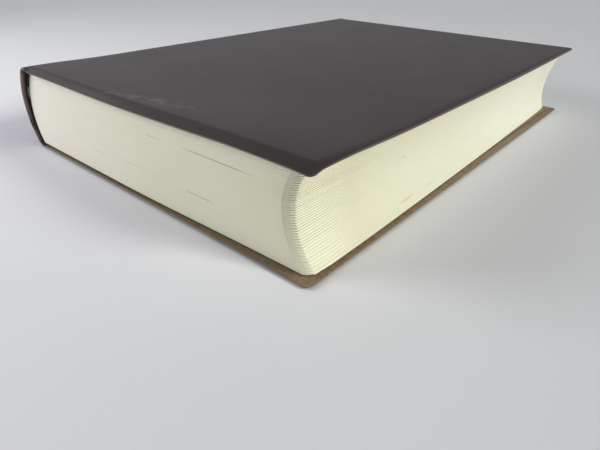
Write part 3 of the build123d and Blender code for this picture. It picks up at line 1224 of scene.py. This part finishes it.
# %% Thread tree
thread_tree, thread_inputs, given = new_geometry_tree("band_thread", {
    "Path": "Geometry", "Pitch": "Float", "Bead radius": "Float", "Thread radius": "Float",
    "Seed": "Int", "Thread": "Material",
})
path = add(thread_tree, "GeometryNodeMeshToCurve", {"Mesh": given["Path"]})
beads = add(thread_tree, "GeometryNodeCurveToPoints", {
    "Curve": path, "Length": given["Pitch"],
}, mode="LENGTH")
ring_line = add(thread_tree, "GeometryNodeCurvePrimitiveCircle", {
    "Resolution": 10, "Radius": given["Bead radius"],
})
ring_profile = add(thread_tree, "GeometryNodeCurvePrimitiveCircle", {
    "Resolution": 5, "Radius": given["Thread radius"],
})
ring = add(thread_tree, "GeometryNodeCurveToMesh", {
    "Curve": ring_line.outputs["Curve"], "Profile Curve": ring_profile.outputs["Curve"],
})
size_draw = add(thread_tree, "FunctionNodeRandomValue", {
    "Min": 0.96, "Max": 1.06, "Seed": given["Seed"],
}, data_type="FLOAT")
wrapped = add(thread_tree, "GeometryNodeInstanceOnPoints", {
    "Points": beads.outputs["Points"], "Rotation": beads.outputs["Rotation"],
    "Instance": ring, "Scale": size_draw,
})
realized = add(thread_tree, "GeometryNodeRealizeInstances", {"Geometry": wrapped})
threaded = add(thread_tree, "GeometryNodeSetMaterial", {
    "Geometry": realized, "Material": given["Thread"],
})
add(thread_tree, "NodeGroupOutput", {"Mesh": threaded})
print("thread tree has", len(thread_tree.nodes), "nodes")

# %% Wrapping the beads
bead_radius = 0.4 * MM
glue_line = 0.05 * MM
band_margin = 1.0 * MM
bead_offset = 0.25 * MM
bead_points = 40
bead_path_radius = back_radius + bead_offset
bead_half = block_thickness / 2 - band_margin
bead_angle = math.asin(bead_half / bead_path_radius)
angles = np.linspace(-bead_angle, bead_angle, bead_points)
bead_x = arc_x - bead_path_radius * np.cos(angles)
bead_z = middle + bead_path_radius * np.sin(angles)
for name, sign in [("head_band_thread", 1), ("tail_band_thread", -1)]:
    bead_y = sign * (leaf_high.y + glue_line + bead_radius)
    line = [(x, bead_y, z) for x, z in zip(bead_x, bead_z)]
    mesh = bpy.data.meshes.new(name)
    mesh.from_pydata(line, [(i, i + 1) for i in range(len(line) - 1)], [])
    piece = new_object(name, mesh)
    thread_mesh = apply_tree(piece, thread_tree, thread_inputs, {
        "Pitch": 0.28 * MM,
        "Bead radius": 0.37 * MM,
        "Thread radius": 0.12 * MM,
        "Seed": 3,
        "Thread": band_cloth,
    })
    thread_mesh.shade_smooth()
    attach(piece, "text_block")
    print(name, "has", len(thread_mesh.polygons), "faces")

# %% [markdown]
# ## Stage, light and camera
# The floor is plain and pale. A broad, soft light comes from the right behind the book, and a
# panel lamp stands low to the left in front of it, which leaves the near corner of the leaves in
# half shade. The sky is pale at the horizon and dark overhead, so the flat cover catches a soft
# sheen from afar and its sloping margin stays dark.

# %% Floor
floor_paint, tree, shader = new_material("pale_studio_floor", roughness=0.8)
place = add(tree, "ShaderNodeTexCoord").outputs["Object"]
floor_noise = noise(tree, place, 1 / 0.08, 3.0)
floor_colour = mix(tree, floor_noise, hex_colour("E2E3EA"), hex_colour("E7E8EE"))
wire(tree, shader, floor_colour)
floor_half = 6.0
floor_level = -0.05 * MM
floor_mesh = bpy.data.meshes.new("floor")
floor_corners = [(-1, -1), (1, -1), (1, 1), (-1, 1)]
floor_points = [(x * floor_half, y * floor_half, floor_level) for x, y in floor_corners]
floor_mesh.from_pydata(floor_points, [], [(0, 1, 2, 3)])
floor_mesh.materials.append(floor_paint)
floor = new_object("floor", floor_mesh)
print("floor laid")

# %% Light
world = bpy.data.worlds.new("studio")
world.use_nodes = True
bpy.context.scene.world = world
tree = world.node_tree
background = tree.nodes["Background"]
sky_way = add(tree, "ShaderNodeTexCoord").outputs["Generated"]
sky_tilted = add(tree, "ShaderNodeVectorMath", {
    0: sky_way, 1: (0.3, 0.0, 1.0),
}, operation="DOT_PRODUCT").outputs["Value"]
sky_share = remap(tree, sky_tilted, -0.25, 0.62)
sky_low = (0.71, 0.72, 0.76, 1.0)
sky_high = (0.05, 0.05, 0.055, 1.0)
sky_colour = mix(tree, sky_share, sky_low, sky_high)
tree.links.new(pick(sky_colour.outputs, "Result"), background.inputs["Color"])

key = bpy.data.lights.new("key_lamp", "SUN")
key.energy = 2.3
key.color = (0.99, 1.0, 0.9)
key.angle = math.radians(20)
fill = bpy.data.lights.new("fill_lamp", "AREA")
fill.energy = 0.67
fill.color = (1.0, 0.985, 1.0)
fill.size = 0.25
fill.spread = math.radians(120)
top = bpy.data.lights.new("top_lamp", "SUN")
top.energy = 0.4
top.angle = math.radians(60)
for lamp, spot, way in [
    (key, (0.0, 0.0, 1.0), (0.91, 0.35, 0.50)),
    (fill, (-0.35, -0.34, 0.22), (-0.64, -0.60, 0.38)),
    (top, (0.0, 0.0, 1.0), (0.3, -0.1, 0.95)),
]:
    holder = new_object(lamp.name, lamp)
    holder.location = spot
    holder.rotation_euler = Vector(way).to_track_quat("Z", "Y").to_euler()
    print(lamp.name, "strength", lamp.energy)

# %% Camera
camera_data = bpy.data.cameras.new("camera")
camera_data.sensor_width = 36.0
camera_data.lens = 28.533
camera_data.clip_start = 0.005
camera = new_object("camera", camera_data)
camera.location = (121.83 * MM, -159.69 * MM, 68.08 * MM)
azimuth, pitch, roll = math.radians(40.147), math.radians(30.741), math.radians(0.999)
aim = Matrix.Rotation(azimuth, 3, "Z") @ Matrix.Rotation(math.pi / 2 - pitch, 3, "X")
camera.rotation_euler = (aim @ Matrix.Rotation(roll, 3, "Z")).to_euler()
bpy.context.scene.camera = camera
bpy.context.scene.view_settings.view_transform = "Standard"
print("camera set")
